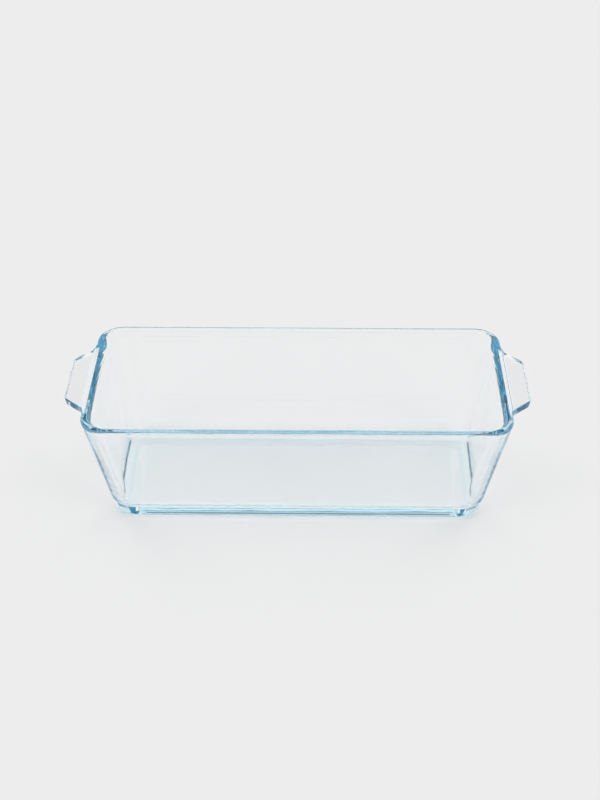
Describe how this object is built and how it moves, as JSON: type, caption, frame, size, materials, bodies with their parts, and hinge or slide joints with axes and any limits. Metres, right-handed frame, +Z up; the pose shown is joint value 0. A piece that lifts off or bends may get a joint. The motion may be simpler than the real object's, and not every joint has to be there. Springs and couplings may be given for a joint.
{
  "type": "loaf pan",
  "caption": "Clear pressed-glass loaf pan: a deep trough with drafted walls, rounded corners and rim, a thick floor on a foot ring, and a carrying lug at each end.",
  "frame": {"origin": "centre of the foot, on the surface the pan stands on", "axes": "+X along the length of the pan through both lugs, +Y across it, +Z up out of the open top"},
  "size_m": [0.28, 0.1084, 0.0788],
  "materials": {
    "clear_glass": "fire-polished pressed borosilicate glass, clear, with a faint blue-green cast that deepens where it is seen on edge"
  },
  "bodies": {
    "root": {"glass_dish": "clear_glass"}
  },
  "joints": []
}
